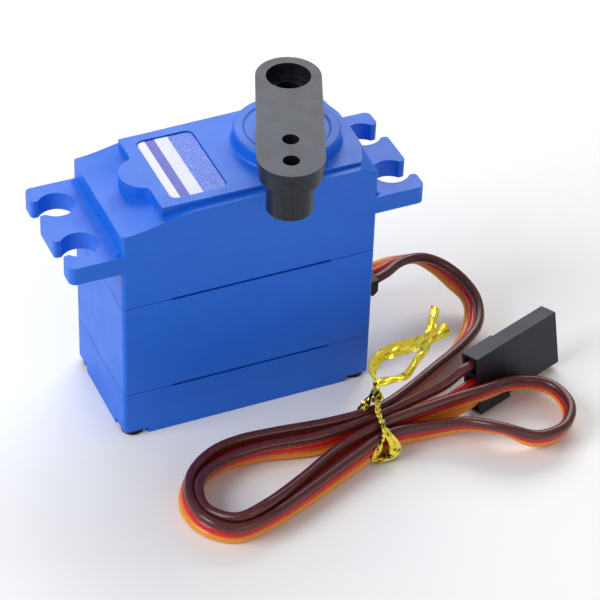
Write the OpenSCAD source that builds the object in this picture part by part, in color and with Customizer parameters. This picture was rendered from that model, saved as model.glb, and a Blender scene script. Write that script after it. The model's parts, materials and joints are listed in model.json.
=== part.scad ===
// Hobby servo motor with arm and three-core lead, sizes in millimetres.
// The origin is on the output shaft's axis, at the level the screw heads stand on.
// +X runs to the end the lead leaves, +Z up along the output shaft.

/* [Case] */
// Length of the case between its end faces
case_len = 31; // [30.5:0.1:31.5]
// Width of the case
case_w = 15.85; // [15.5:0.05:16]
// Distance from the output axis to the lead end of the case
axis_to_end = 8.05; // [8:0.05:8.2]
// Thickness of the case walls
wall = 1.2; // [1.1:0.05:1.25]
// Radius of the case's upright edges
edge_r = 0.5; // [0.5:0.1:1.2]
// Height of the joint between the bottom cover and the middle case
lower_seam = 6.4; // [6.3:0.05:6.5]
// Height of the joint between the middle case and the upper case
upper_seam = 19; // [18.9:0.05:19.1]
// Height of the flat top plateau
plateau_z = 31.4; // [31.3:0.05:31.6]

/* [Mounting tabs] */
// How far each tab stands out from the case
tab_len = 6; // [5.8:0.1:6.4]
// Thickness of the tabs
tab_t = 2.3; // [2:0.1:2.6]
// Height of the tabs' top faces
tab_top = 26.6; // [26.4:0.1:26.8]
// Radius of the mounting holes
hole_r = 2.2; // [2:0.05:2.3]
// Distance from the case end to the hole centres
hole_out = 3.45; // [3.3:0.05:3.6]
// Distance between the two holes of a tab
hole_pitch = 7.86; // [7.6:0.02:8]
// Width of the open mouth of each hole
mouth_w = 2.7; // [2:0.1:2.9]

/* [Horn] */
// Distance from the shaft to the post under the arm's free end
arm_len = 15.3; // [14.8:0.1:16]
// Half width of the arm at its top face
arm_r = 3.75; // [3.6:0.05:3.8]
// Height of the arm's top face
arm_top = 40.2; // [40:0.1:41]
// Thickness of the arm
arm_t = 2.5; // [2:0.1:2.8]
// Radius of the post under the free end
post_r = 2.6; // [2.4:0.1:3]
// Direction of the arm, from +X towards +Y
arm_dir = 248; // [200:1:340]

/* [Gears] */
// Module of every gear
gear_m = 0.4; // [0.4:0.1:0.4]
// Teeth of the motor pinion and of the first two small gears
small_n = 10; // [10:1:10]
// Teeth of the three large gears that follow them
large_n = 28; // [28:1:28]
// Teeth of the last small gear
last_small_n = 12; // [12:1:12]
// Teeth of the output gear
out_n = 26; // [26:1:26]

/* [Lead] */
// Outer diameter of one wire
wire_d = 1.2; // [1:0.05:1.2]
// Distance between neighbouring wires of the ribbon
wire_pitch = 1.22; // [1.22:0.01:1.3]

/* [Hidden] */
$fn = 64;
slack = 0.01;      // overlap that keeps cuts and joined solids clean
deep = 100;        // longer than anything a cut has to pass through

// Case
x1 = axis_to_end;
x0 = x1 - case_len;
half_w = case_w / 2;
floor_z = wall;
notch_z = 0.7;
notch_size = 3;
screw_in = 1.5;
screw_r = 0.8;
screw_head_r = 1.35;
screw_hole_r = 0.9;
screw_top = 24;
pillar_r = 1.75;
deck_t = 1.6;
deck_z = upper_seam - deck_t;
pry_x0 = -17;
pry_x1 = 2.6;
pry_up = 0.15;
pry_down = 0.3;
pry_h = 0.35;
pry_depth = 0.9;
seam_relief = 0.12;

// Sloping shoulder of the upper case, from the far end to the plateau
shoulder_z = 29.3;
shoulder_rise = 1.4;
shoulder_len = 9.4;
ledge_z = 31.05;
ledge_x = 1.2;
bevel_z = 29.97;
end_round_r = 14.5;
plateau_x = -17.8;
plateau_half_w = 6.95;
plateau_end_x = 8.02;
bump_x = -17.3;
bump_r = 2.9;
bump_fillet = 0.7;
ceiling_drop = 1.5;
shelf_ceiling = 27.7;
tab_fillet = 0.7;
tab_corner_r = 0.8;
tab_tip_r = 0.45;

// Boss around the output shaft
boss_r = 6.2;
boss_top = 33.3;
boss_step_r = 5.1;
boss_step_z = 33.15;
boss_step_w = 0.3;
boss_lip_z = 32.6;
boss_lip_r = 3.5;
boss_fillet = 0.4;
boss_edge = 0.35;

// Label in its recess
label_x0 = -16.3;
label_x1 = -9.4;
label_half_w = 5.8;
label_r = 0.9;
label_recess = 0.28;
label_gap = 0.12;
label_t = 0.12;

// Bearing
bearing_z0 = 29.6;
bearing_r = 4.8;
bearing_bore = 3;
race_in = 3.4;
race_out = 4.4;
ball_r = 0.43;
ball_count = 14;

// Gear train: the pinion, the idler pin and the output shaft stand in one line
mesh_d = gear_m * (small_n + large_n) / 2;
pin_x = -mesh_d;
motor_x = -2 * mesh_d;
pressure = 25;
addendum = 0.8;
dedendum = 1.05;
tooth_thin = 0.03;
flank_steps = 4;
pin_r = 0.75;
pin_z0 = deck_z + 0.4;
pin_z1 = 28.8;
run_gap = 0.05;
layer_1 = [19.4, 20.8, 22.9];
layer_2 = [21.2, 22.6, 24.9];
layer_3 = [23.2, 24.6, 27.9];
layer_4 = [25.2, 27.6];
pinion_z = [19.4, 21.8];
out_shoulder_r = 3.4;
spline_n = 21;
spline_r = 2.45;
spline_root_r = 2.2;
spline_top = 37;
shaft_top = 32.8;
tap_r = 1.1;
tap_z = 33;

// Motor
motor_r = 5.9;
motor_z0 = 5.4;
motor_boss_r = 1.9;
motor_shaft_r = 0.75;
motor_boss_top = 17.9;
end_cap_r = 5.6;
end_cap_z = 4.2;

// Board and potentiometer
board_z = 2.3;
board_t = 1;
board_corner = 3.9;
pot_half = 4.5;
pot_z0 = deck_z - 4;
pot_shaft_r = 1.25;
pot_shaft_z0 = pot_z0 + 0.6;
pot_shaft_z1 = 26.6;
pot_hole_r = 1.6;

// Horn
horn_bottom = 33.35;
horn_hub_r = 3.35;
horn_draft = 0.2;
socket_gap = 0.02;
screw_seat_r = 2.55;
screw_seat_z = 38.5;
screw_way_r = 1.45;
link_r = 0.95;
link_near = 12.2;
link_far = 16.1;
link_floor = 36;

// Strain relief
relief_end = 11.6;
relief_taper_x = 11.1;
relief_half_w = 2.3;
relief_z0 = 7.1;
relief_taper_z = 7.7;
relief_z1 = 9.3;
relief_neck = 1.95;

// Connector, lying on its narrow edge and leaning back a little
plug_pos = [17.3, -19.9, 0.5];
plug_turn = 20;
plug_lean = -10.6;
plug_len = 13.6;
plug_t = 2.54;
plug_w = 7.65;
plug_pitch = 2.54;
plug_rear = 5;
plug_step = 0.12;

// Route of the top wire of the ribbon; the other two lie side by side below it
route = [
  [11.6, -1.2, 8.6], [13.5, -0.5, 8.6], [16.1, 0.8, 8.6], [19.2, 1.3, 8], [22, 0.6, 6.5],
  [23.9, -1.4, 4.9], [24.3, -4.1, 3.8], [22.8, -7.4, 3.1], [19.4, -10, 2.9],
  [14.5, -12.6, 2.9], [9.5, -15.2, 2.9], [4.8, -17, 3], [-1.1, -17, 2.9],
  [-7.2, -16.3, 2.9], [-12.1, -16, 2.9], [-16, -17, 3], [-19.3, -19.6, 3],
  [-20.9, -23.6, 3.2], [-20.3, -27.4, 3.2], [-17.5, -29.5, 2.9], [-13.2, -29, 3.2],
  [-8, -26.8, 3.1], [-1.6, -23.9, 3.1], [4.4, -21.6, 3.2], [9.3, -21.8, 2.9],
  [13.4, -23.3, 3.5], [16.6, -26.2, 4], [20.3, -28.1, 3.1], [24.2, -27.5, 2.9],
  [26.4, -24.6, 3.1], [25.8, -20.7, 3.2], [22.4, -18.9, 3.5], [16.8, -20.6, 5.2],
  [10.5, -20.5, 4.7], [4.3, -20.4, 3.8], [-1.8, -21.6, 3], [-8, -25.2, 3.5],
  [-13.7, -28.4, 4.3], [-17.5, -28.4, 3.5], [-19.8, -25.1, 3.1], [-18.8, -21.1, 3.2],
  [-14.9, -18.5, 2.8], [-9.7, -18.2, 3], [-3.2, -19, 3.1], [4.6, -18.3, 3.1],
  [9, -18.1, 3.9], [12.8, -18.4, 5.3]
];
route_steps = 2;
wire_sides = 8;
// Lean of the ribbon from upright towards its right-hand side, by place in the route
lean = [
  [0, 90], [3, 50], [5, 5], [7, -40], [9, -25], [14, -20], [16, -16], [19, 20], [22, 8],
  [26, 40], [28, 24], [30.5, -36], [32.5, -26], [36, -17], [38, -30], [41, 27], [43.5, 6],
  [46.5, -10.6]
];
// Distance between the wires, and how far they line up with the connector
wire_fan = [[44, wire_pitch], [47.2, plug_pitch]];
plug_share = [[43.5, 0], [46.5, 1]];
plug_entry = -1.2;
plug_inside = 1.6;

// Twist tie: a band around the ribbon's passes, a twisted neck and two loose ends
tie_x0 = 3.1;
tie_x1 = 4.7;
tie_t = 0.2;
tie_y0 = -22.9;
tie_y1 = -15.1;
tie_z0 = 0.02;
tie_top = 4.8;
tie_strip = 1.5;
tie_fold = [[3, tie_top], [3.9, tie_top], [5.5, 1.7], [5.3, 0.8], [3.4, 0.1], [1.7, 0.1], [2.6, 3.6]];

// ---------------------------------------------------------------- shared shapes

function arc(cx, cy, r, a0, a1, n) =
  [for (i = [0:n]) let (a = a0 + (a1 - a0) * i / n) [cx + r * cos(a), cy + r * sin(a)]];

function round_rect(ax, bx, ay, by, r, n = 6) = concat(
  arc(bx - r, by - r, r, 0, 90, n), arc(ax + r, by - r, r, 90, 180, n),
  arc(ax + r, ay + r, r, 180, 270, n), arc(bx - r, ay + r, r, 270, 360, n));

// Outline of the case, drawn in by an inset
function case_outline(inset) = round_rect(
  x0 + inset, x1 - inset, -half_w + inset, half_w - inset, max(edge_r - inset, 0.3));

// Slot shape with full round ends, along +X from the origin
function slot_outline(len, r) = concat(arc(len, 0, r, -90, 90, 16), arc(0, 0, r, 90, 270, 16));

module slab(z0, z1) translate([0, 0, z0]) linear_extrude(z1 - z0) children();

module rod(x, y, r, z0, z1) translate([x, y, z0]) cylinder(r = r, h = z1 - z0);

module block(a, b) translate(a) cube(b - a);

module at_screws() {
  for (x = [x0 + screw_in, x1 - screw_in], y = [-1, 1])
    translate([x, y * (half_w - screw_in), 0]) children();
}

// Profile in X and Z, given a thickness along Y and centred on the case
module across(w) translate([0, w / 2, 0]) rotate([90, 0, 0]) linear_extrude(w) children();

// Wall of one storey of the case, with the four screw pillars inside it
module case_wall(z0, z1) {
  slab(z0, z1) difference() {
    polygon(case_outline(0));
    polygon(case_outline(wall));
  }
  intersection() {
    slab(z0, z1) polygon(case_outline(wall / 2));
    at_screws() rod(0, 0, pillar_r, z0, z1);
  }
}

// Slot along each long side at a seam, where a blade opens the case
module pry_slots(z0, z1) {
  for (s = [-1, 1])
    block([pry_x0, s * half_w - pry_depth, z0], [pry_x1, s * half_w + pry_depth, z1]);
}

module lower_pry_slots() pry_slots(lower_seam - pry_down, lower_seam - pry_down + pry_h);

module upper_pry_slots() pry_slots(upper_seam - pry_up, upper_seam - pry_up + pry_h);

// ---------------------------------------------------------------- gear outlines

function involute(a) = tan(a) * 180 / PI - a;

function flank_angle(n, r) =
  let (pitch_r = gear_m * n / 2, base_r = pitch_r * cos(pressure))
    90 / n - tooth_thin / pitch_r * 180 / PI + involute(pressure)
      - involute(acos(min(1, base_r / r)));

function gear_outline(n, phase) =
  let (
    pitch_r = gear_m * n / 2,
    root_r = pitch_r - gear_m * dedendum,
    tip_r = pitch_r + gear_m * addendum,
    start_r = max(root_r, pitch_r * cos(pressure)),
    radii = [for (i = [0:flank_steps]) start_r + (tip_r - start_r) * i / flank_steps],
    half = concat([[root_r, flank_angle(n, start_r)]], [for (r = radii) [r, flank_angle(n, r)]]),
    last = len(half) - 1
  )
  [for (k = [0:n - 1]) let (c = phase + 360 * k / n)
    each concat(
      [for (i = [0:last]) half[i][0] * [cos(c - half[i][1]), sin(c - half[i][1])]],
      [for (i = [last:-1:0]) half[i][0] * [cos(c + half[i][1]), sin(c + half[i][1])]])];

// Large gear below, small gear above, turning on a round bore
module double_gear(x, z, small, big_phase, small_phase, bore_r) {
  translate([x, 0, 0]) difference() {
    union() {
      slab(z[0], z[1]) polygon(gear_outline(large_n, big_phase));
      slab(z[1] - slack, z[2]) polygon(gear_outline(small, small_phase));
    }
    rod(0, 0, bore_r, 0, deep);
  }
}

function spline_outline(grow) =
  [for (k = [0:2 * spline_n - 1]) let (r = (k % 2 == 0 ? spline_r : spline_root_r) + grow)
    r * [cos(180 * k / spline_n), sin(180 * k / spline_n)]];

// ---------------------------------------------------------------- case

module bottom_cover() color("royalblue") difference() {
  union() {
    slab(0, floor_z) polygon(case_outline(0));
    case_wall(floor_z - slack, lower_seam - seam_relief);
    slab(lower_seam - seam_relief - slack, lower_seam) difference() {
      polygon(case_outline(seam_relief));
      polygon(case_outline(wall));
    }
    for (x = [-14, 0], s = [-1, 1])
      block([x - 0.6, s * 5.2 - 0.6, floor_z - slack], [x + 0.6, s * 5.2 + 0.6, board_z]);
  }
  at_screws() rod(0, 0, screw_hole_r, -1, deep);
  for (cx = [x0, x1 - notch_size], cy = [-half_w, half_w - notch_size])
    block([cx, cy, -1], [cx + notch_size, cy + notch_size, notch_z]);
  lower_pry_slots();
}

module middle_case() color("royalblue") difference() {
  union() {
    case_wall(lower_seam, deck_z + slack);
    slab(deck_z, upper_seam) polygon(case_outline(0));
  }
  at_screws() rod(0, 0, screw_hole_r, 0, deep);
  rod(motor_x, 0, motor_boss_r + 0.1, 0, deep);
  rod(0, 0, pot_hole_r, 0, deep);
  rod(pin_x, 0, pin_r, pin_z0, deep);
  lower_pry_slots();
  upper_pry_slots();
  block([x1 - wall - 1, -relief_neck, lower_seam - 1], [x1 + 1, relief_neck, relief_z1 - 0.2]);
}

// Height of the sloping shoulder at a fraction of its length
function shoulder_height(s) = shoulder_z + shoulder_rise * s * s * (3 - 2 * s);

function top_profile() = concat(
  [[x0 - 1, upper_seam], [x0 - 1, shoulder_z]],
  [for (i = [0:12]) [x0 + shoulder_len * i / 12, shoulder_height(i / 12)]],
  [[ledge_x, ledge_z], [x1 + 1, ledge_z], [x1 + 1, upper_seam]]);

// Outline whose lead end bulges out to the end face
function bowed_outline(back_x, half, end_x) =
  let (a = asin(half / end_round_r))
    concat(arc(end_x - end_round_r, 0, end_round_r, -a, a, 16), [[back_x, half], [back_x, -half]]);

function plateau_outline() =
  let (
    reach = bump_r + bump_fillet,
    fx = plateau_x - bump_fillet,
    fy = sqrt(reach * reach - pow(fx - bump_x, 2)),
    a = atan2(fy, fx - bump_x),
    bow = asin(plateau_half_w / end_round_r)
  )
  concat(
    arc(plateau_end_x - end_round_r, 0, end_round_r, -bow, bow, 16),
    [[plateau_x, plateau_half_w]],
    arc(fx, fy, bump_fillet, 0, a - 180, 5),
    arc(bump_x, 0, bump_r, a, 360 - a, 16),
    arc(fx, -fy, bump_fillet, 180 - a, 0, 5),
    [[plateau_x, -plateau_half_w]]);

// Corners of one finger of a tab, between two places across the case
function tab_finger(y0, y1, r0, r1) = concat(
  arc(tab_len - r0, y0 + r0, r0, -90, 0, 5), arc(tab_len - r1, y1 - r1, r1, 0, 90, 5));

// Outline of a tab, outwards from the end of the case, with the mouth of each hole
function tab_outline() =
  let (a = (hole_pitch - mouth_w) / 2, b = (hole_pitch + mouth_w) / 2)
  concat(
    [[-wall, -half_w]], tab_finger(-half_w, -b, tab_corner_r, tab_tip_r),
    [[hole_out, -b], [hole_out, -a]], tab_finger(-a, a, tab_tip_r, tab_tip_r),
    [[hole_out, a], [hole_out, b]], tab_finger(b, half_w, tab_tip_r, tab_corner_r),
    [[-wall, half_w]]);

module tab(side) {
  end_x = side > 0 ? x1 : x0;
  difference() {
    slab(tab_top - tab_t, tab_top) polygon([for (p = tab_outline()) [end_x + side * p[0], p[1]]]);
    for (s = [-1, 1]) rod(end_x + side * hole_out, s * hole_pitch / 2, hole_r, 0, deep);
  }
  across(case_w - 2 * edge_r) for (v = [[tab_top, 1], [tab_top - tab_t, -1]])
    polygon(concat(
      [[end_x - side * edge_r, v[0] - v[1] * slack], [end_x - side * edge_r, v[0] + v[1] * tab_fillet]],
      [for (i = [0:5]) let (q = 90 * i / 5)
        [end_x + side * tab_fillet * (1 - cos(q)), v[0] + v[1] * tab_fillet * (1 - sin(q))]],
      [[end_x + side * tab_fillet, v[0] - v[1] * slack]]));
}

module boss_shape() rotate_extrude($fn = 96) polygon(concat(
  [[0, ledge_z - 1], [boss_r + boss_fillet, ledge_z - 1]],
  [for (i = [0:6]) let (q = 90 * i / 6)
    [boss_r + boss_fillet * (1 - sin(q)), plateau_z + boss_fillet * (1 - cos(q))]],
  arc(boss_r - boss_edge, boss_top - boss_edge, boss_edge, 0, 90, 4),
  [[boss_step_r, boss_top], [boss_step_r - boss_step_w, boss_step_z], [0, boss_step_z]]));

module upper_case() color("royalblue") difference() {
  union() {
    intersection() {
      union() {
        slab(upper_seam + seam_relief, bevel_z) polygon(case_outline(0));
        slab(upper_seam, upper_seam + seam_relief + slack) polygon(case_outline(seam_relief));
        hull() {
          slab(bevel_z - slack, bevel_z) polygon(case_outline(0));
          slab(ledge_z - slack, ledge_z + slack)
            polygon(bowed_outline(x0 + edge_r, half_w, x1));
        }
      }
      across(case_w + 2) polygon(top_profile());
    }
    slab(shoulder_z, plateau_z) intersection() {
      polygon(plateau_outline());
      polygon(case_outline(0.3));
    }
    tab(1);
    tab(-1);
    boss_shape();
  }
  difference() {
    slab(upper_seam - 1, ledge_z - ceiling_drop) polygon(case_outline(wall));
    at_screws() rod(0, 0, pillar_r, 0, deep);
    block([x0, -half_w, shelf_ceiling], [plateau_x + 1.5, half_w, ledge_z]);
    rod(pin_x, 0, 2 * pin_r, layer_3[2] + 0.2, ledge_z);
  }
  at_screws() rod(0, 0, screw_r, 0, screw_top);
  rod(pin_x, 0, pin_r, 0, pin_z1);
  rod(0, 0, bearing_r, upper_seam, boss_lip_z);
  rod(0, 0, boss_lip_r, upper_seam, deep);
  slab(plateau_z - label_recess, plateau_z + 1)
    polygon(round_rect(label_x0, label_x1, -label_half_w, label_half_w, label_r));
  upper_pry_slots();
}

module case_screws() color("dimgray") at_screws() difference() {
  union() {
    rod(0, 0, screw_head_r, 0, notch_z);
    rod(0, 0, screw_r, notch_z - slack, screw_top - 0.5);
  }
  for (a = [0, 90]) rotate(a) block([-0.8, -0.15, -1], [0.8, 0.15, 0.35]);
}

module top_label() color("white")
  slab(plateau_z - label_recess, plateau_z - label_recess + label_t)
    polygon(round_rect(label_x0 + label_gap, label_x1 - label_gap,
                       -label_half_w + label_gap, label_half_w - label_gap, label_r - label_gap));

// ---------------------------------------------------------------- motor and electronics

module circuit_board() color("darkgreen") difference() {
  slab(board_z, board_z + board_t)
    polygon(round_rect(x0 + wall + 0.2, x1 - wall - 0.2, -half_w + wall + 0.2, half_w - wall - 0.2, 0.3));
  for (cx = [x0, x1 - board_corner], cy = [-half_w, half_w - board_corner])
    block([cx, cy, 0], [cx + board_corner, cy + board_corner, deep]);
}

module board_chips() color("black") {
  top = board_z + board_t;
  block([-6.5, -2, top], [-2.5, 2, top + 0.8]);
  block([-0.5, -5, top], [2.5, -2, top + 0.9]);
  block([-0.5, 2, top], [2.5, 5, top + 0.9]);
  block([-6, 3.2, top], [-4.4, 4, top + 0.5]);
  block([-6, -4, top], [-4.4, -3.2, top + 0.5]);
}

module motor_can() color("silver") difference() {
  union() {
    rod(motor_x, 0, motor_r, motor_z0, deck_z);
    rod(motor_x, 0, motor_boss_r, deck_z - slack, motor_boss_top);
  }
  rod(motor_x, 0, motor_shaft_r + run_gap, motor_z0 + 1, deep);
}

module motor_end_cap() color("ivory") rod(motor_x, 0, end_cap_r, end_cap_z, motor_z0);

module motor_terminals() color("gold") for (s = [-1, 1])
  block([motor_x - 0.4, s * 3.6 - 0.8, board_z + board_t], [motor_x + 0.4, s * 3.6 + 0.8, end_cap_z]);

module motor_shaft() color("lightgray")
  rod(motor_x, 0, motor_shaft_r, motor_z0 + 1.1, pinion_z[1] + 0.3);

module motor_pinion() color("goldenrod") translate([motor_x, 0, 0]) difference() {
  slab(pinion_z[0], pinion_z[1]) polygon(gear_outline(small_n, 0));
  rod(0, 0, motor_shaft_r, 0, deep);
}

module potentiometer_body() color("steelblue") difference() {
  slab(pot_z0, deck_z) polygon(round_rect(-pot_half, pot_half, -pot_half, pot_half, 0.5));
  rod(0, 0, pot_shaft_r + run_gap, pot_z0 + 0.4, deep);
}

module potentiometer_shaft() color("lightgray") rod(0, 0, pot_shaft_r, pot_shaft_z0, pot_shaft_z1);

module potentiometer_pins() color("gold") for (s = [-1:1])
  rod(3.6, s * 1.2, 0.25, board_z + board_t, pot_z0);

// ---------------------------------------------------------------- gear train

module idler_pin() color("lightgray") rod(pin_x, 0, pin_r, pin_z0, pin_z1);

module first_gear() color("goldenrod")
  double_gear(pin_x, layer_1, small_n, 180 + 180 / large_n, 0, pin_r + run_gap);

module second_gear() color("goldenrod")
  double_gear(0, layer_2, small_n, 180 + 180 / large_n, 180, pot_shaft_r + run_gap);

module third_gear() color("goldenrod")
  double_gear(pin_x, layer_3, last_small_n, 180 / large_n, 0, pin_r + run_gap);

module output_gear() color("silver") difference() {
  union() {
    slab(layer_4[0], layer_4[1]) polygon(gear_outline(out_n, 180 + 180 / out_n));
    rod(0, 0, out_shoulder_r, layer_4[1] - slack, bearing_z0);
    rod(0, 0, bearing_bore, bearing_z0 - slack, shaft_top);
    slab(shaft_top - slack, spline_top) polygon(spline_outline(0));
  }
  rod(0, 0, pot_shaft_r, 0, pot_shaft_z1);
  rod(0, 0, tap_r, tap_z, deep);
}

module ring(r_in, r_out, z0, z1) difference() {
  rod(0, 0, r_out, z0, z1);
  rod(0, 0, r_in, z0 - 1, z1 + 1);
}

module bearing_outer_ring() color("lightgray") ring(race_out, bearing_r, bearing_z0, boss_lip_z);

module bearing_inner_ring() color("lightgray") ring(bearing_bore, race_in, bearing_z0, boss_lip_z);

module bearing_balls() color("white") for (k = [0:ball_count - 1])
  rotate(360 * k / ball_count)
    translate([(race_in + race_out) / 2, 0, (bearing_z0 + boss_lip_z) / 2]) sphere(r = ball_r, $fn = 24);

module servo_horn() color("black") rotate(arm_dir) difference() {
  union() {
    hull() {
      slab(arm_top - slack, arm_top) polygon(slot_outline(arm_len, arm_r));
      slab(arm_top - arm_t, arm_top - arm_t + slack)
        polygon(slot_outline(arm_len, arm_r - horn_draft));
    }
    rod(0, 0, horn_hub_r, horn_bottom, arm_top - arm_t + slack);
    rod(arm_len, 0, post_r, horn_bottom, arm_top - arm_t + slack);
  }
  rotate(-arm_dir) slab(horn_bottom - 1, spline_top + 0.1) polygon(spline_outline(socket_gap));
  rod(0, 0, screw_way_r, horn_bottom, deep);
  rod(0, 0, screw_seat_r, screw_seat_z, deep);
  rod(link_near, 0, link_r, arm_top - arm_t, deep);
  rod(link_far, 0, link_r, link_floor, deep);
}

// ---------------------------------------------------------------- lead

module strain_relief() color("black") difference() {
  union() {
    across(2 * relief_half_w) polygon([
      [x1, relief_z0], [relief_taper_x, relief_z0], [relief_end, relief_taper_z],
      [relief_end, relief_z1], [x1, relief_z1]]);
    block([x1 - wall - 1, -relief_neck + run_gap, lower_seam + run_gap],
          [x1 + slack, relief_neck - run_gap, relief_z1 - 0.25]);
  }
  for (x = [x1 + 0.9, x1 + 2.1], s = [-1, 1])
    block([x, s * relief_half_w - 0.35, 0], [x + 0.6, s * relief_half_w + 0.35, deep]);
}

module in_plug() translate(plug_pos) rotate([plug_lean, 0, plug_turn]) children();

// A point given in the connector's own axes, placed in the servo's frame
function plug_point(p) =
  let (
    q = [p[0], p[1] * cos(plug_lean) - p[2] * sin(plug_lean),
         p[1] * sin(plug_lean) + p[2] * cos(plug_lean)]
  )
  plug_pos + [q[0] * cos(plug_turn) - q[1] * sin(plug_turn),
              q[0] * sin(plug_turn) + q[1] * cos(plug_turn), q[2]];

function unit(v) = v / norm(v);

function curve_point(p, i, t) =
  let (
    n = len(p),
    a = p[max(i - 1, 0)], b = p[i], c = p[min(i + 1, n - 1)], d = p[min(i + 2, n - 1)]
  )
  0.5 * (2 * b + (c - a) * t + (2 * a - 5 * b + 4 * c - d) * t * t
         + (3 * b - a - 3 * c + d) * t * t * t);

function centre_line(p, steps) = concat(
  [for (i = [0:len(p) - 2], k = [0:steps - 1]) curve_point(p, i, k / steps)], [p[len(p) - 1]]);

full_route = concat(route, [for (x = [plug_entry, plug_inside])
  plug_point([x, plug_t / 2, plug_w / 2 + plug_pitch])]);
top_line = centre_line(full_route, route_steps);
line_end = len(top_line) - 1;
plug_axis = [cos(plug_turn), sin(plug_turn), 0];

// Value of a table at a place, level at each of its entries
function eased(s, table) =
  let (
    last = len(table) - 1,
    k = [for (i = [0:last - 1]) if (s > table[i][0] && s <= table[i + 1][0]) i]
  )
  len(k) == 0 ? (s <= table[0][0] ? table[0][1] : table[last][1]) :
  let (
    a = table[k[0]], b = table[k[0] + 1],
    t = (s - a[0]) / (b[0] - a[0])
  )
  a[1] + (b[1] - a[1]) * t * t * (3 - 2 * t);

function tangent(i) = unit(top_line[min(i + 1, line_end)] - top_line[max(i - 1, 0)]);

function ribbon_axis(i) =
  let (w = eased(i / route_steps, plug_share)) unit(tangent(i) * (1 - w) + plug_axis * w);

// Direction from the ribbon's lowest wire to its top wire
function ribbon_side(i) =
  let (
    t = ribbon_axis(i),
    up = unit([0, 0, 1] - t[2] * t),
    right = unit(cross(t, [0, 0, 1])),
    a = eased(i / route_steps, lean)
  )
  up * cos(a) + right * sin(a);

function wire_point(i, k) = top_line[i] - k * eased(i / route_steps, wire_fan) * ribbon_side(i);

// Tube of one wire: 0 is the ribbon's top wire, 2 its lowest
module wire(k) {
  r = wire_d / 2;
  line = [for (i = [0:line_end]) wire_point(i, k)];
  rings = [for (i = [0:line_end])
    let (
      t = unit(line[min(i + 1, line_end)] - line[max(i - 1, 0)]),
      m = ribbon_side(i),
      n = unit(m - (m * t) * t),
      b = cross(t, n)
    )
      [for (j = [0:wire_sides - 1]) let (a = 360 * (j + 0.5) / wire_sides)
        line[i] + r * (cos(a) * n + sin(a) * b)]];
  faces = concat(
    [[for (j = [0:wire_sides - 1]) j]],
    [for (i = [0:line_end - 1], j = [0:wire_sides - 1])
      let (u = i * wire_sides, v = u + wire_sides, m = (j + 1) % wire_sides)
        [u + j, v + j, v + m, u + m]],
    [[for (j = [wire_sides - 1:-1:0]) line_end * wire_sides + j]]);
  polyhedron(points = [for (g = rings) each g], faces = faces, convexity = 10);
}

module wire_brown() color("saddlebrown") wire(0);

module wire_red() color("red") wire(1);

module wire_orange() color("orange") wire(2);

module at_ways() for (k = [-1:1]) translate([0, plug_t / 2, plug_w / 2 + k * plug_pitch]) children();

module connector_housing() color("black") in_plug() difference() {
  union() {
    block([0, 0, 0], [plug_rear, plug_t, plug_w]);
    block([plug_rear - slack, plug_step, 0.45], [plug_len, plug_t - plug_step, plug_w - plug_step]);
  }
  at_ways() {
    block([-1, -0.85, -0.95], [plug_len - 1.2, 0.85, 0.95]);
    block([0, -0.4, -0.4], [deep, 0.4, 0.4]);
    block([6.2, 0, -0.5], [8.8, deep, 0.5]);
  }
}

module connector_contacts() color("gold") in_plug() at_ways() difference() {
  block([plug_inside, -0.8, -0.9], [plug_len - 1.3, 0.8, 0.9]);
  block([4.5, -0.5, -0.5], [deep, 0.5, 0.5]);
}

// Strip of foil between two points, standing on its edge
module strip(a, b) hull() for (p = [a, b])
  translate(p) cube([tie_t, tie_t, tie_strip], center = true);

module twist_tie() color("gold") {
  difference() {
    block([tie_x0, tie_y0, tie_z0], [tie_x1, tie_y1, tie_top]);
    block([tie_x0 - 1, tie_y0 + tie_t, tie_z0 + tie_t], [tie_x1 + 1, tie_y1 - tie_t, tie_top - tie_t]);
  }
  translate([0, tie_y0 + tie_t, 0]) rotate([90, 0, 0]) linear_extrude(tie_t) polygon(tie_fold);
  hull() {
    translate([4.2, -17.6, tie_top - 0.1]) cylinder(r = 0.8, h = 0.2, $fn = 24);
    translate([4.6, -17, 7]) cylinder(r = 0.55, h = 0.5, $fn = 24);
  }
  strip([4.6, -16.9, 7.3], [5.6, -15, 8.6]);
  strip([5.6, -15, 8.6], [11.4, -13.8, 8.6]);
  strip([11.4, -13.8, 8.6], [15.9, -12.6, 8.4]);
  strip([4.6, -17, 7], [8.5, -17.1, 7]);
  strip([8.5, -17.1, 7], [12.4, -14, 7.6]);
  strip([12.4, -14, 7.6], [16.3, -8.5, 8.6]);
}

bottom_cover();
middle_case();
upper_case();
case_screws();
top_label();
circuit_board();
board_chips();
motor_can();
motor_end_cap();
motor_terminals();
motor_shaft();
motor_pinion();
idler_pin();
first_gear();
second_gear();
third_gear();
output_gear();
bearing_outer_ring();
bearing_inner_ring();
bearing_balls();
potentiometer_body();
potentiometer_shaft();
potentiometer_pins();
servo_horn();
strain_relief();
wire_brown();
wire_red();
wire_orange();
connector_housing();
connector_contacts();
twist_tie();
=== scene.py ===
import json
import math

import bmesh
import bpy
from mathutils import Matrix, Vector


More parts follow.
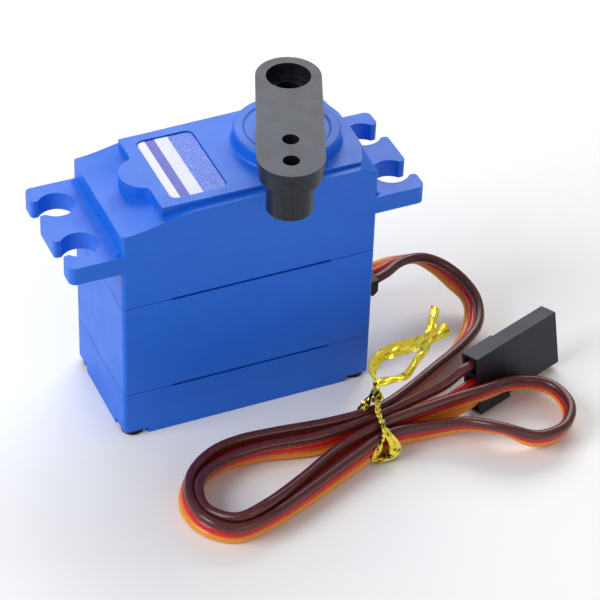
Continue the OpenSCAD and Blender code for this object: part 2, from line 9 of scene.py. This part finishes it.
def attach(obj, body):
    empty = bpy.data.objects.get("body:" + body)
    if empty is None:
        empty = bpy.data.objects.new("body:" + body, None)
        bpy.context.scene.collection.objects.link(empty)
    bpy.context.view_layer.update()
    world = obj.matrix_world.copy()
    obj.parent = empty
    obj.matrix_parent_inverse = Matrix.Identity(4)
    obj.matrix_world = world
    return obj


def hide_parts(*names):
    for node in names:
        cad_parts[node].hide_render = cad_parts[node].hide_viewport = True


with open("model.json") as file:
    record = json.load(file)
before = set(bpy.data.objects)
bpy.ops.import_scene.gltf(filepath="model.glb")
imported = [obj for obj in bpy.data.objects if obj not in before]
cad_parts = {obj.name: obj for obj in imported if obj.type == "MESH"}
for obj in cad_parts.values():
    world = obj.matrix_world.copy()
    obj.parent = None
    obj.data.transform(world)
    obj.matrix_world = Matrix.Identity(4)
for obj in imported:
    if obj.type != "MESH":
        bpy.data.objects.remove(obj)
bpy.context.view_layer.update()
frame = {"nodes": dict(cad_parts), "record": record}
NODES = frame["nodes"]
MM = 0.001
UP = Vector((0, 0, 1))
ARM_DIR = math.radians(248)


def vec(x, y, z):
    """A point given in millimetres."""
    return Vector((x, y, z)) * MM


# ------------------------------------------------------------------ camera

def make_camera():
    azimuth, elevation, roll = math.radians(-24.6), math.radians(38.91), math.radians(2.07)
    right = Vector((math.cos(azimuth), math.sin(azimuth), 0))
    back = Vector((math.sin(azimuth) * math.cos(elevation),
                   -math.cos(azimuth) * math.cos(elevation), math.sin(elevation)))
    up = back.cross(right)
    x_axis = math.cos(roll) * right + math.sin(roll) * up
    y_axis = -math.sin(roll) * right + math.cos(roll) * up
    data = bpy.data.cameras.new("camera")
    data.sensor_width = 36
    data.lens = 164.8
    data.clip_start = 0.01
    camera = bpy.data.objects.new("camera", data)
    bpy.context.scene.collection.objects.link(camera)
    matrix = Matrix((x_axis, y_axis, back)).transposed().to_4x4()
    matrix.translation = vec(-103.93, -232.27, 213.45)
    camera.matrix_world = matrix
    bpy.context.scene.camera = camera


make_camera()

# ------------------------------------------------------------------ lead

WIRE_D = 1.2
RIBBON_PITCH = 1.22
PLUG_PITCH = 2.54
PLUG_POS = Vector((17.3, -19.9, 0.5))
PLUG_TURN = math.radians(20)
PLUG_LEAN = math.radians(-10.6)
PLUG_T = 2.54
PLUG_W = 7.65
PLUG_ENTRY = -1.2
PLUG_INSIDE = 1.6
WIRE_STEPS = 6
WIRE_SIDES = 16

# Route of the ribbon's top wire, in millimetres; the other two lie below it. A scratch script fitted
# these points to places read off the photograph, so they aren't chosen by hand.
ROUTE = [
    (11.6, -1.2, 8.6), (13.5, -0.5, 8.6), (16.1, 0.8, 8.6), (19.2, 1.3, 8), (22, 0.6, 6.5),
    (23.9, -1.4, 4.9), (24.3, -4.1, 3.8), (22.8, -7.4, 3.1), (19.4, -10, 2.9), (14.5, -12.6, 2.9),
    (9.5, -15.2, 2.9), (4.8, -17, 3), (-1.1, -17, 2.9), (-7.2, -16.3, 2.9), (-12.1, -16, 2.9),
    (-16, -17, 3), (-19.3, -19.6, 3), (-20.9, -23.6, 3.2), (-20.3, -27.4, 3.2),
    (-17.5, -29.5, 2.9), (-13.2, -29, 3.2), (-8, -26.8, 3.1), (-1.6, -23.9, 3.1),
    (4.4, -21.6, 3.2), (9.3, -21.8, 2.9), (13.4, -23.3, 3.5), (16.6, -26.2, 4), (20.3, -28.1, 3.1),
    (24.2, -27.5, 2.9), (26.4, -24.6, 3.1), (25.8, -20.7, 3.2), (22.4, -18.9, 3.5),
    (16.8, -20.6, 5.2), (10.5, -20.5, 4.7), (4.3, -20.4, 3.8), (-1.8, -21.6, 3), (-8, -25.2, 3.5),
    (-13.7, -28.4, 4.3), (-17.5, -28.4, 3.5), (-19.8, -25.1, 3.1), (-18.8, -21.1, 3.2),
    (-14.9, -18.5, 2.8), (-9.7, -18.2, 3), (-3.2, -19, 3.1), (4.6, -18.3, 3.1), (9, -18.1, 3.9),
    (12.8, -18.4, 5.3),
]
# Lean of the ribbon from upright towards its right-hand side, in degrees by place in the route
# Picked by hand from angles that a scratch script had worked out.
LEAN = [
    (0, 90), (3, 50), (5, 5), (7, -40), (9, -25), (14, -20), (16, -16), (19, 20), (22, 8),
    (26, 40), (28, 24), (30.5, -36), (32.5, -26), (36, -17), (38, -30), (41, 27), (43.5, 6),
    (46.5, -10.6),
]
WIRE_FAN = [(44, RIBBON_PITCH), (47.2, PLUG_PITCH)]
PLUG_SHARE = [(43.5, 0), (46.5, 1)]


def eased(s, table):
    """Value of a table at a place, level at each of its entries."""
    if s <= table[0][0]:
        return table[0][1]
    for (a, va), (b, vb) in zip(table, table[1:]):
        if s <= b:
            t = (s - a) / (b - a)
            return va + (vb - va) * t * t * (3 - 2 * t)
    return table[-1][1]


def plug_matrix():
    return (Matrix.Translation(PLUG_POS) @ Matrix.Rotation(PLUG_TURN, 4, "Z")
            @ Matrix.Rotation(PLUG_LEAN, 4, "X"))


def smooth_line(points, steps):
    """A Catmull-Rom curve through the points."""
    last = len(points) - 1
    line = []
    for i in range(last):
        a, b = points[max(i - 1, 0)], points[i]
        c, d = points[i + 1], points[min(i + 2, last)]
        for k in range(steps):
            t = k / steps
            line.append(0.5 * (2 * b + (c - a) * t + (2 * a - 5 * b + 4 * c - d) * t * t
                               + (3 * b - a - 3 * c + d) * t ** 3))
    line.append(points[last])
    return line


def tangents(line):
    last = len(line) - 1
    return [(line[min(i + 1, last)] - line[max(i - 1, 0)]).normalized() for i in range(last + 1)]


def square_to(v, axis):
    return (v - v.dot(axis) * axis).normalized()


def ribbon():
    """Centre lines of the three wires in millimetres, top wire first, and the ribbon's sideways."""
    plug = plug_matrix()
    route = [Vector(p) for p in ROUTE]
    for x in (PLUG_ENTRY, PLUG_INSIDE):
        route.append(plug @ Vector((x, PLUG_T / 2, PLUG_W / 2 + PLUG_PITCH)))
    line = smooth_line(route, WIRE_STEPS)
    plug_axis = Vector((math.cos(PLUG_TURN), math.sin(PLUG_TURN), 0))
    wires, sides = [[], [], []], []
    for i, (p, t) in enumerate(zip(line, tangents(line))):
        s = i / WIRE_STEPS
        share = eased(s, PLUG_SHARE)
        axis = (t * (1 - share) + plug_axis * share).normalized()
        angle = math.radians(eased(s, LEAN))
        upright = square_to(UP, axis)
        right = axis.cross(UP).normalized()
        side = upright * math.cos(angle) + right * math.sin(angle)
        sides.append(side)
        for k in range(3):
            wires[k].append(p - k * eased(s, WIRE_FAN) * side)
    return wires, sides


def length_of(points):
    return sum((b - a).length for a, b in zip(points, points[1:]))


def add_mesh(name, verts_mm, faces, body="case"):
    mesh = bpy.data.meshes.new(name)
    mesh.from_pydata([tuple(v * MM) for v in verts_mm], [], faces)
    mesh.polygons.foreach_set("use_smooth", [True] * len(mesh.polygons))
    mesh.update()
    obj = bpy.data.objects.new(name, mesh)
    bpy.context.scene.collection.objects.link(obj)
    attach(obj, body)
    return obj


def skin(rings):
    """Faces over closed rings of points, with a cap on each end."""
    count = len(rings[0])
    verts = [p for ring in rings for p in ring]
    faces = [tuple(range(count - 1, -1, -1))]
    for i in range(len(rings) - 1):
        for j in range(count):
            a, b = i * count + j, i * count + (j + 1) % count
            faces.append((a, b, b + count, a + count))
    faces.append(tuple((len(rings) - 1) * count + j for j in range(count)))
    return verts, faces


WIRES = ["brown", "red", "orange"]


def make_wires():
    made = {}
    wires, sides = ribbon()
    for colour_name, points in zip(WIRES, wires):
        rings = []
        for p, t, side in zip(points, tangents(points), sides):
            n = square_to(side, t)
            b = t.cross(n)
            ring = []
            for j in range(WIRE_SIDES):
                a = 2 * math.pi * j / WIRE_SIDES
                ring.append(p + WIRE_D / 2 * (math.cos(a) * n + math.sin(a) * b))
            rings.append(ring)
        obj = add_mesh("lead_" + colour_name, *skin(rings))
        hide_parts("wire_" + colour_name)
        made[colour_name] = (obj, points)
    return made


LEAD = make_wires()

# ------------------------------------------------------------------ twist tie

# Knots of each strip of foil: place in millimetres, width, and turn about the strip's own line.
# The first value says which direction the width lies along when the turn is 0.
TIE_STRIPS = [
    ("X", [(4.7, -17.7, 4.9, 1.6, 0), (4.65, -17.5, 5.6, 1.4, 50), (4.6, -17.25, 6.3, 0.9, 150),
           (4.6, -17.1, 7, 0.75, 240), (4.62, -17, 7.6, 0.8, 320)]),
    ("X", [(4.7, -17.7, 4.9, 1.4, 80), (4.65, -17.5, 5.6, 1.2, 140), (4.6, -17.25, 6.3, 0.8, 240),
           (4.6, -17.1, 7, 0.7, 330), (4.62, -17, 7.6, 0.7, 400)]),
    ("Y", [(4.4, -17.3, 6.5, 0.5, 0), (3.8, -17.5, 5.7, 0.9, 10), (3.2, -17.7, 5, 1.2, -10),
           (2.5, -17.8, 4.3, 1, 0)]),
    ("X", [(4.65, -17.7, 5.1, 0.9, 20), (4.2, -18.7, 5.05, 0.75, 130), (3.85, -19.75, 5, 0.7, 250),
           (3.65, -21.1, 4.85, 0.7, 370), (3.5, -22.3, 4.5, 0.8, 480)]),
    ("X", [(4.65, -17.7, 5.1, 0.8, 110), (4.2, -18.7, 5.05, 0.65, 220), (3.85, -19.75, 5, 0.6, 340),
           (3.65, -21.1, 4.85, 0.6, 460), (3.5, -22.3, 4.5, 0.7, 560)]),
    ("X", [(3.5, -22.2, 4.6, 0.7, 20), (3.85, -22.75, 3.9, 0.9, 0), (4.35, -23.05, 2.8, 1.3, -15),
           (4.6, -23.05, 1.7, 1.7, -10), (4.3, -22.95, 0.8, 1.9, 0), (4, -22.5, 0.25, 1.8, 0),
           (3.95, -21.5, 0.1, 1.5, 0), (3.9, -19, 0.08, 1.5, 0), (3.9, -16.2, 0.08, 1.5, 0),
           (3.95, -15.3, 0.4, 1.5, 0), (4.05, -15.05, 1.3, 1.5, 0), (4.2, -15.4, 2.6, 1.4, 0),
           (4.4, -16.1, 3.9, 1.4, 10), (4.6, -17, 4.7, 1.3, 20), (4.65, -17.6, 5.2, 1.1, 30)]),
    ("X", [(3.3, -22.55, 4.3, 0.35, 10), (2.85, -22.8, 3.2, 0.6, 20), (2.4, -22.8, 1.9, 0.7, 10),
           (2.1, -22.65, 0.8, 0.9, 0), (2.5, -22.3, 0.2, 1, 0)]),
    ("Z", [(1.9, -22.6, 0.5, 0.5, 20), (3, -22.95, 0.6, 0.7, -10), (4.2, -23.1, 0.8, 0.9, 20),
           (5.3, -22.8, 1.1, 0.8, 0)]),
    ("Z", [(4.62, -17, 7.3, 0.9, -60), (4.45, -16.5, 8.1, 1.1, -60), (4.9, -15.7, 8.7, 1.3, -50),
           (6.2, -14.8, 9, 1.5, -35), (8.8, -14.2, 8.8, 1.7, -45), (11.4, -13.9, 8.6, 1.6, -30),
           (13.8, -13.2, 8.5, 1.5, -45), (16, -12.6, 8.4, 1.7, -35)]),
    ("Z", [(4.65, -17, 7.1, 0.9, -20), (5.6, -17.1, 7.1, 1.1, -40), (7.2, -17.1, 7, 0.8, -70),
           (8.5, -17, 7.05, 1, -50), (9.6, -16.2, 7.2, 0.9, -40), (11, -15, 7.4, 1, -70),
           (12.4, -14, 7.6, 0.9, -55), (14.4, -11.2, 8.1, 1.1, -70), (16.2, -8.6, 8.6, 1.2, -60)]),
]
FOIL_T = 0.07
FOIL_CELLS = 6
FOIL_STEPS = 5
TIE_WIRE_HEIGHT = 0.12
TIE_WIRE_SPREAD = 0.14
TIE_FLOOR = 0.02


def fold_wave(x):
    return 2 * abs(x % 2 - 1) - 1


def crease_height(s, a, seed):
    """Height of the crumpled foil at a place along and across a strip, from -1 to 1."""
    broad = fold_wave(0.62 * s + 0.9 * a + seed)
    narrow = fold_wave(1.15 * s - 1.2 * a + 1.7 * seed)
    return 0.6 * broad + 0.4 * narrow


def strip_rings(reference, knots, seed):
    """Closed rings along one strip: a thin foil with a wire running down its middle."""
    line = smooth_line([Vector(k[:3]) for k in knots], FOIL_STEPS)
    widths = smooth_line([k[3] for k in knots], FOIL_STEPS)
    turns = smooth_line([k[4] for k in knots], FOIL_STEPS)
    upward = Vector([float(axis == reference) for axis in "XYZ"])
    rings, along = [], 0.0
    for i, (p, t) in enumerate(zip(line, tangents(line))):
        if i:
            along += (line[i] - line[i - 1]).length
        across = square_to(upward, t)
        across = Matrix.Rotation(math.radians(turns[i]), 3, t) @ across
        normal = t.cross(across)
        crushed = 0.15 if widths[i] > 1.2 else 0.1
        faces = ([], [])
        for j in range(FOIL_CELLS + 1):
            a = (j / FOIL_CELLS - 0.5) * widths[i]
            wire = TIE_WIRE_HEIGHT * math.exp(-(a / TIE_WIRE_SPREAD) ** 2)
            h = crushed * crease_height(along, a, seed)
            for side, face in ((1, faces[0]), (-1, faces[1])):
                point = p + a * across + (h + side * (FOIL_T / 2 + wire)) * normal
                point.z = max(point.z, TIE_FLOOR + (FOIL_T if side > 0 else 0))
                face.append(point)
        rings.append(faces[0] + faces[1][::-1])
    return rings


def make_tie():
    verts, faces = [], []
    for seed, (reference, knots) in enumerate(TIE_STRIPS):
        strip_verts, strip_faces = skin(strip_rings(reference, knots, 0.37 * seed))
        faces += [tuple(len(verts) + i for i in face) for face in strip_faces]
        verts += strip_verts
    obj = add_mesh("foil_tie", verts, faces)
    obj.data.polygons.foreach_set("use_smooth", [False] * len(obj.data.polygons))
    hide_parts("twist_tie")
    return obj


TIE = make_tie()

# ------------------------------------------------------------------ materials

def colour(r, g, b):
    """An sRGB colour, 0 to 255, as a linear one."""
    def linear(c):
        c /= 255
        return c / 12.92 if c <= 0.04045 else ((c + 0.055) / 1.055) ** 2.4
    return (linear(r), linear(g), linear(b), 1)


WHITE = (1, 1, 1, 1)
COOL = colour(226, 234, 255)


class Nodes:
    """Small helper that adds and links shader nodes."""

    def __init__(self, name):
        self.material = bpy.data.materials.new(name)
        self.material.use_nodes = True
        self.tree = self.material.node_tree
        self.shader = self.tree.nodes["Principled BSDF"]
        self.coords = self.add("ShaderNodeTexCoord").outputs["Object"]

    def add(self, kind, **values):
        node = self.tree.nodes.new(kind)
        for key, value in values.items():
            setattr(node, key, value)
        return node

    def link(self, a, b):
        self.tree.links.new(a, b)

    def noise(self, size_mm, detail=3.0, roughness=0.5, stretch=None, distortion=0.0, turn=0.0):
        node = self.add("ShaderNodeTexNoise")
        node.inputs["Scale"].default_value = 1 / (size_mm * MM)
        node.inputs["Detail"].default_value = detail
        node.inputs["Roughness"].default_value = roughness
        node.inputs["Distortion"].default_value = distortion
        source = self.coords
        if turn:
            rotation = self.add("ShaderNodeMapping")
            rotation.inputs["Rotation"].default_value = (0, 0, turn)
            self.link(source, rotation.inputs["Vector"])
            source = rotation.outputs["Vector"]
        if stretch:
            mapping = self.add("ShaderNodeMapping")
            mapping.inputs["Scale"].default_value = stretch
            self.link(source, mapping.inputs["Vector"])
            source = mapping.outputs["Vector"]
        self.link(source, node.inputs["Vector"])
        return node.outputs["Fac"]

    def span(self, value, low, high, out_low=0.0, out_high=1.0):
        node = self.add("ShaderNodeMapRange")
        node.inputs["From Min"].default_value = low
        node.inputs["From Max"].default_value = high
        node.inputs["To Min"].default_value = out_low
        node.inputs["To Max"].default_value = out_high
        self.link(value, node.inputs["Value"])
        return node.outputs["Result"]

    def math(self, operation, a, b=None):
        node = self.add("ShaderNodeMath", operation=operation)
        for socket, value in zip(node.inputs, (a, b)):
            if value is None:
                continue
            if isinstance(value, (int, float)):
                socket.default_value = value
            else:
                self.link(value, socket)
        return node.outputs[0]

    def mix(self, fac, a, b, blend="MIX"):
        node = self.add("ShaderNodeMix", data_type="RGBA", blend_type=blend)
        for name, value in (("Factor", fac), ("A", a), ("B", b)):
            socket = [s for s in node.inputs if s.name == name and s.enabled][0]
            if isinstance(value, (int, float, tuple)):
                socket.default_value = value
            else:
                self.link(value, socket)
        return [s for s in node.outputs if s.enabled][0]

    def bump(self, height, strength, distance_mm, normal=None):
        node = self.add("ShaderNodeBump")
        node.inputs["Strength"].default_value = strength
        node.inputs["Distance"].default_value = distance_mm * MM
        self.link(height, node.inputs["Height"])
        if normal is not None:
            self.link(normal, node.inputs["Normal"])
        return node.outputs["Normal"]

    def edges(self, radius_mm):
        """1 on sharp edges, 0 on flats."""
        bevel = self.add("ShaderNodeBevel", samples=4)
        bevel.inputs["Radius"].default_value = radius_mm * MM
        geometry = self.add("ShaderNodeNewGeometry")
        dot = self.add("ShaderNodeVectorMath", operation="DOT_PRODUCT")
        self.link(bevel.outputs["Normal"], dot.inputs[0])
        self.link(geometry.outputs["Normal"], dot.inputs[1])
        return self.span(dot.outputs["Value"], 1.0, 0.8)

    def set(self, **values):
        for key, value in values.items():
            socket = self.shader.inputs[key.replace("_", " ")]
            if hasattr(value, "is_linked"):
                self.link(value, socket)
            else:
                socket.default_value = value
        return self.material


def plastic(name, base, dark, light, rough, grain_mm=0.12, grain=0.15, mottle_mm=3.0, wear=0.0,
            specular=0.5, sheen_tint=WHITE):
    """Moulded plastic: cloudy tone, fine sparkling grain and paler worn edges."""
    n = Nodes(name)
    mottle = n.noise(mottle_mm, 4, 0.55)
    fine = n.noise(grain_mm, 2, 0.6)
    tone = n.mix(n.span(mottle, 0.3, 0.7), base, dark)
    tone = n.mix(n.math("MULTIPLY", n.span(fine, 0.52, 0.8), 0.3), tone, light)
    if wear:
        tone = n.mix(n.math("MULTIPLY", n.edges(0.16), wear), tone, light)
    roughness = n.math("ADD", n.span(mottle, 0.3, 0.7, rough - 0.04, rough + 0.04),
                       n.span(fine, 0.3, 0.7, -0.05, 0.05))
    swell = n.bump(n.noise(1.4, 2, 0.5), 0.06, 0.1)
    return n.set(Base_Color=tone, Roughness=roughness, Normal=n.bump(fine, grain, 0.02, swell),
                 Specular_IOR_Level=specular, Specular_Tint=sheen_tint)


def metal(name, base, dark, rough, stretch=(1, 1, 1), size_mm=0.3):
    """Machined metal with streaks along one direction."""
    n = Nodes(name)
    streak = n.noise(size_mm, 4, 0.6, stretch)
    cloud = n.noise(2.5, 3, 0.5)
    tone = n.mix(n.span(cloud, 0.3, 0.7), base, dark)
    return n.set(Base_Color=tone, Metallic=1.0,
                 Roughness=n.span(streak, 0.3, 0.7, rough - 0.07, rough + 0.1),
                 Normal=n.bump(streak, 0.15, 0.02))


def vinyl(name, base, dark):
    """Extruded wire covering, with a faint orange-peel surface."""
    n = Nodes(name)
    cloud = n.noise(4.0, 3, 0.5)
    fine = n.noise(0.35, 3, 0.6)
    tone = n.mix(n.span(cloud, 0.3, 0.7), base, dark)
    return n.set(Base_Color=tone, Roughness=n.span(fine, 0.3, 0.7, 0.2, 0.3),
                 Normal=n.bump(fine, 0.1, 0.02), Specular_IOR_Level=0.45)


def arm_plastic():
    """Black plastic with a fine grain across the arm."""
    n = Nodes("black_arm")
    grain = n.noise(0.5, 3, 0.65, stretch=(9, 0.7, 1), turn=-ARM_DIR)
    speck = n.noise(0.14, 2, 0.6)
    cloud = n.noise(2.2, 4, 0.6)
    tone = n.mix(n.span(cloud, 0.3, 0.7), colour(20, 21, 26), colour(15, 16, 20))
    tone = n.mix(n.math("MULTIPLY", n.span(grain, 0.45, 0.75), 0.3), tone, colour(74, 76, 84))
    tone = n.mix(n.math("MULTIPLY", n.edges(0.14), 0.35), tone, colour(130, 130, 136))
    rough = n.math("ADD", n.span(cloud, 0.3, 0.7, 0.33, 0.4), n.span(speck, 0.3, 0.7, -0.05, 0.05))
    fine = n.bump(speck, 0.15, 0.02)
    return n.set(Base_Color=tone, Roughness=rough, Normal=n.bump(grain, 0.2, 0.02, fine),
                 Specular_IOR_Level=0.4, Specular_Tint=COOL)


def label_film():
    """Printed film: bands of white, violet and glittering blue, without lettering."""
    n = Nodes("label_film")
    split = n.add("ShaderNodeSeparateXYZ")
    n.link(n.coords, split.inputs[0])
    place = n.span(split.outputs["X"], -16.2 * MM, -9.5 * MM)
    ramp = n.add("ShaderNodeValToRGB")
    ramp.color_ramp.interpolation = "CONSTANT"
    bands = [(0, colour(214, 217, 228)), (0.16, colour(56, 62, 182)), (0.33, colour(208, 212, 226)),
             (0.57, colour(14, 80, 205))]
    stops = ramp.color_ramp.elements
    while len(stops) < len(bands):
        stops.new(0.5)
    for stop, (position, tint) in zip(stops, bands):
        stop.position = position
        stop.color = tint
    n.link(place, ramp.inputs[0])
    glitter = n.noise(0.25, 2, 0.7)
    spark = n.math("MULTIPLY", n.span(glitter, 0.5, 0.62), n.span(place, 0.565, 0.575))
    tone = n.mix(n.math("MULTIPLY", spark, 0.5), ramp.outputs["Color"], colour(140, 185, 255))
    crease = n.noise(1.1, 3, 0.6)
    return n.set(Base_Color=tone, Roughness=n.span(crease, 0.3, 0.7, 0.22, 0.36),
                 Normal=n.bump(crease, 0.25, 0.05), Specular_IOR_Level=0.35)


def foil():
    """Gold foil with painted shade: facets turned from a fixed direction are painted brown, then
    nearly black.
    """
    n = Nodes("gold_foil")
    crease = n.noise(1.3, 3, 0.55, distortion=1.4)
    fold = n.noise(2.2, 2, 0.5, distortion=0.6)
    geometry = n.add("ShaderNodeNewGeometry")
    facing = n.add("ShaderNodeVectorMath", operation="DOT_PRODUCT")
    n.link(geometry.outputs["Normal"], facing.inputs[0])
    facing.inputs[1].default_value = (0.75, -0.4, 0.52)
    # Painted shade: the facet normal against a fixed direction, shifted by the crease noise, picks
    # which facets are painted dark.
    shade = n.math("ADD", facing.outputs["Value"], n.span(crease, 0.38, 0.62, -0.5, 0.5))
    tone = n.mix(n.span(fold, 0.35, 0.7), colour(255, 240, 92), colour(252, 220, 48))
    # Painted shade and painted reflection of dark surroundings: brown, then nearly black, on the
    # facets turned away.
    tone = n.mix(n.span(shade, 0.12, -0.02), tone, colour(150, 112, 18))
    tone = n.mix(n.span(shade, -0.1, -0.18), tone, colour(24, 18, 6))
    return n.set(Base_Color=tone, Metallic=0.6, Roughness=n.span(crease, 0.3, 0.7, 0.12, 0.22),
                 Normal=n.bump(crease, 0.25, 0.06))


BLUE = plastic("blue_nylon", colour(14, 104, 222), colour(13, 100, 217), colour(80, 146, 240), 0.44,
               wear=0.3, specular=0.4)
BLACK_ARM = arm_plastic()
BLACK_PLUG = plastic("black_plug", colour(18, 21, 27), colour(14, 16, 22), colour(70, 76, 90), 0.38,
                     wear=0.4, specular=0.38, sheen_tint=COOL)
RUBBER = plastic("relief_rubber", colour(30, 30, 33), colour(23, 23, 26), colour(72, 72, 76), 0.55,
                 wear=0.3)
SCREW = metal("black_screw", colour(46, 46, 50), colour(30, 30, 33), 0.35)
STEEL = metal("steel", colour(190, 192, 196), colour(165, 167, 170), 0.28)
BRASS = metal("brass", colour(214, 178, 98), colour(190, 150, 75), 0.3)
CHIP = plastic("chip", colour(30, 30, 32), colour(24, 24, 26), colour(70, 70, 72), 0.5)
BOARD = plastic("board", colour(20, 90, 48), colour(16, 78, 40), colour(50, 120, 70), 0.35)
POT = plastic("pot", colour(60, 100, 125), colour(50, 88, 112), colour(90, 130, 150), 0.4)
CAP = plastic("end_cap", colour(215, 212, 200), colour(205, 200, 188), colour(230, 228, 220), 0.45)
BROWN = vinyl("brown_vinyl", colour(92, 40, 38), colour(80, 33, 32))
RED = vinyl("red_vinyl", colour(214, 30, 27), colour(194, 23, 21))
ORANGE = vinyl("orange_vinyl", colour(240, 156, 44), colour(228, 140, 34))
LABEL = label_film()
FOIL = foil()

for piece, paint in zip(WIRES, (BROWN, RED, ORANGE)):
    LEAD[piece][0].data.materials.append(paint)
TIE.data.materials.append(FOIL)

PAINT = {
    "bottom_cover": BLUE, "middle_case": BLUE, "upper_case": BLUE, "case_screws": SCREW,
    "top_label": LABEL, "circuit_board": BOARD, "board_chips": CHIP, "motor_can": STEEL,
    "motor_end_cap": CAP, "motor_terminals": BRASS, "motor_shaft": STEEL, "motor_pinion": BRASS,
    "idler_pin": STEEL, "first_gear": BRASS, "second_gear": BRASS, "third_gear": BRASS,
    "output_gear": STEEL, "bearing_outer_ring": STEEL, "bearing_inner_ring": STEEL,
    "bearing_balls": STEEL, "potentiometer_body": POT, "potentiometer_shaft": STEEL,
    "potentiometer_pins": BRASS, "servo_horn": BLACK_ARM, "strain_relief": RUBBER,
    "connector_housing": BLACK_PLUG, "connector_contacts": BRASS, "twist_tie": FOIL,
}
for node, paint in PAINT.items():
    obj = NODES[node]
    obj.data.materials.clear()
    obj.data.materials.append(paint)

# ------------------------------------------------------------------ moulded pieces


def body_of_node(node):
    for body, members in frame["record"]["behaviour"]["bodies"].items():
        if node in members:
            return body
    return "root"


def rounded(node, name, width_mm, segments=3, sharp_deg=32):
    """A copy of a CAD piece with its sharp edges rounded, which stands in for it."""
    mesh = bpy.data.meshes.new(name)
    bm = bmesh.new()
    bm.from_mesh(NODES[node].data)
    bmesh.ops.remove_doubles(bm, verts=bm.verts, dist=3e-6)
    bmesh.ops.dissolve_limit(bm, angle_limit=math.radians(1.5), verts=bm.verts, edges=bm.edges)
    bm.to_mesh(mesh)
    bm.free()
    for attribute in [a.name for a in mesh.attributes if a.name == "custom_normal"]:
        mesh.attributes.remove(mesh.attributes[attribute])
    obj = bpy.data.objects.new(name, mesh)
    bpy.context.scene.collection.objects.link(obj)
    bevel = obj.modifiers.new("round", "BEVEL")
    bevel.width = width_mm * MM
    bevel.segments = segments
    bevel.limit_method = "ANGLE"
    bevel.angle_limit = math.radians(sharp_deg)
    bevel.use_clamp_overlap = True
    mesh.polygons.foreach_set("use_smooth", [True] * len(mesh.polygons))
    weighted = obj.modifiers.new("flats", "WEIGHTED_NORMAL")
    weighted.keep_sharp = True
    depsgraph = bpy.context.evaluated_depsgraph_get()
    final = bpy.data.meshes.new_from_object(obj.evaluated_get(depsgraph))
    obj.modifiers.clear()
    obj.data = final
    final.name = name
    final.materials.clear()
    final.materials.append(PAINT[node])
    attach(obj, body_of_node(node))
    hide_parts(node)
    return obj


rounded("bottom_cover", "cover_shell", 0.15)
rounded("middle_case", "middle_shell", 0.12)
rounded("upper_case", "upper_shell", 0.2, sharp_deg=20)
rounded("servo_horn", "output_arm", 0.1)
RELIEF = rounded("strain_relief", "lead_grommet", 0.12)
PLUG = rounded("connector_housing", "plug_shell", 0.14)

# ------------------------------------------------------------------ cord lengths

for colour_name in WIRES:
    obj, points = LEAD[colour_name]
    print("wire", colour_name, round(length_of(points), 1), "mm")

# ------------------------------------------------------------------ stage and light

def area_light(name, place_mm, size_mm, watts, tint=(1, 1, 1)):
    data = bpy.data.lights.new(name, "AREA")
    data.shape = "RECTANGLE"
    data.size, data.size_y = size_mm[0] * MM, size_mm[1] * MM
    data.energy = watts
    data.color = tint
    obj = bpy.data.objects.new(name, data)
    bpy.context.scene.collection.objects.link(obj)
    place = vec(*place_mm)
    aim = vec(-3, -8, 12)
    obj.matrix_world = (Matrix.Translation(place)
                        @ (place - aim).to_track_quat("Z", "Y").to_matrix().to_4x4())
    return obj


def make_stage():
    bm = bmesh.new()
    bmesh.ops.create_grid(bm, x_segments=1, y_segments=1, size=3)
    mesh = bpy.data.meshes.new("floor")
    bm.to_mesh(mesh)
    floor = bpy.data.objects.new("floor", mesh)
    floor.location = (0, 0, -0.00002)
    bpy.context.scene.collection.objects.link(floor)
    n = Nodes("floor_paper")
    tone = n.mix(n.span(n.noise(60, 3), 0.3, 0.7), (0.93, 0.93, 0.935, 1), (0.92, 0.92, 0.925, 1))
    mesh.materials.append(n.set(Base_Color=tone, Roughness=0.9, Specular_IOR_Level=0.2))

    world = bpy.data.worlds.new("world")
    world.use_nodes = True
    world.node_tree.nodes["Background"].inputs["Color"].default_value = (1, 1, 1, 1)
    world.node_tree.nodes["Background"].inputs["Strength"].default_value = 0.36
    bpy.context.scene.world = world
    area_light("key_left", (-420, -40, 330), (300, 300), 1.7)
    area_light("top_back", (170, 330, 340), (420, 300), 1.6)
    area_light("front_fill", (60, -480, 240), (300, 200), 0.32)
    bpy.context.scene.view_settings.view_transform = "Standard"


make_stage()
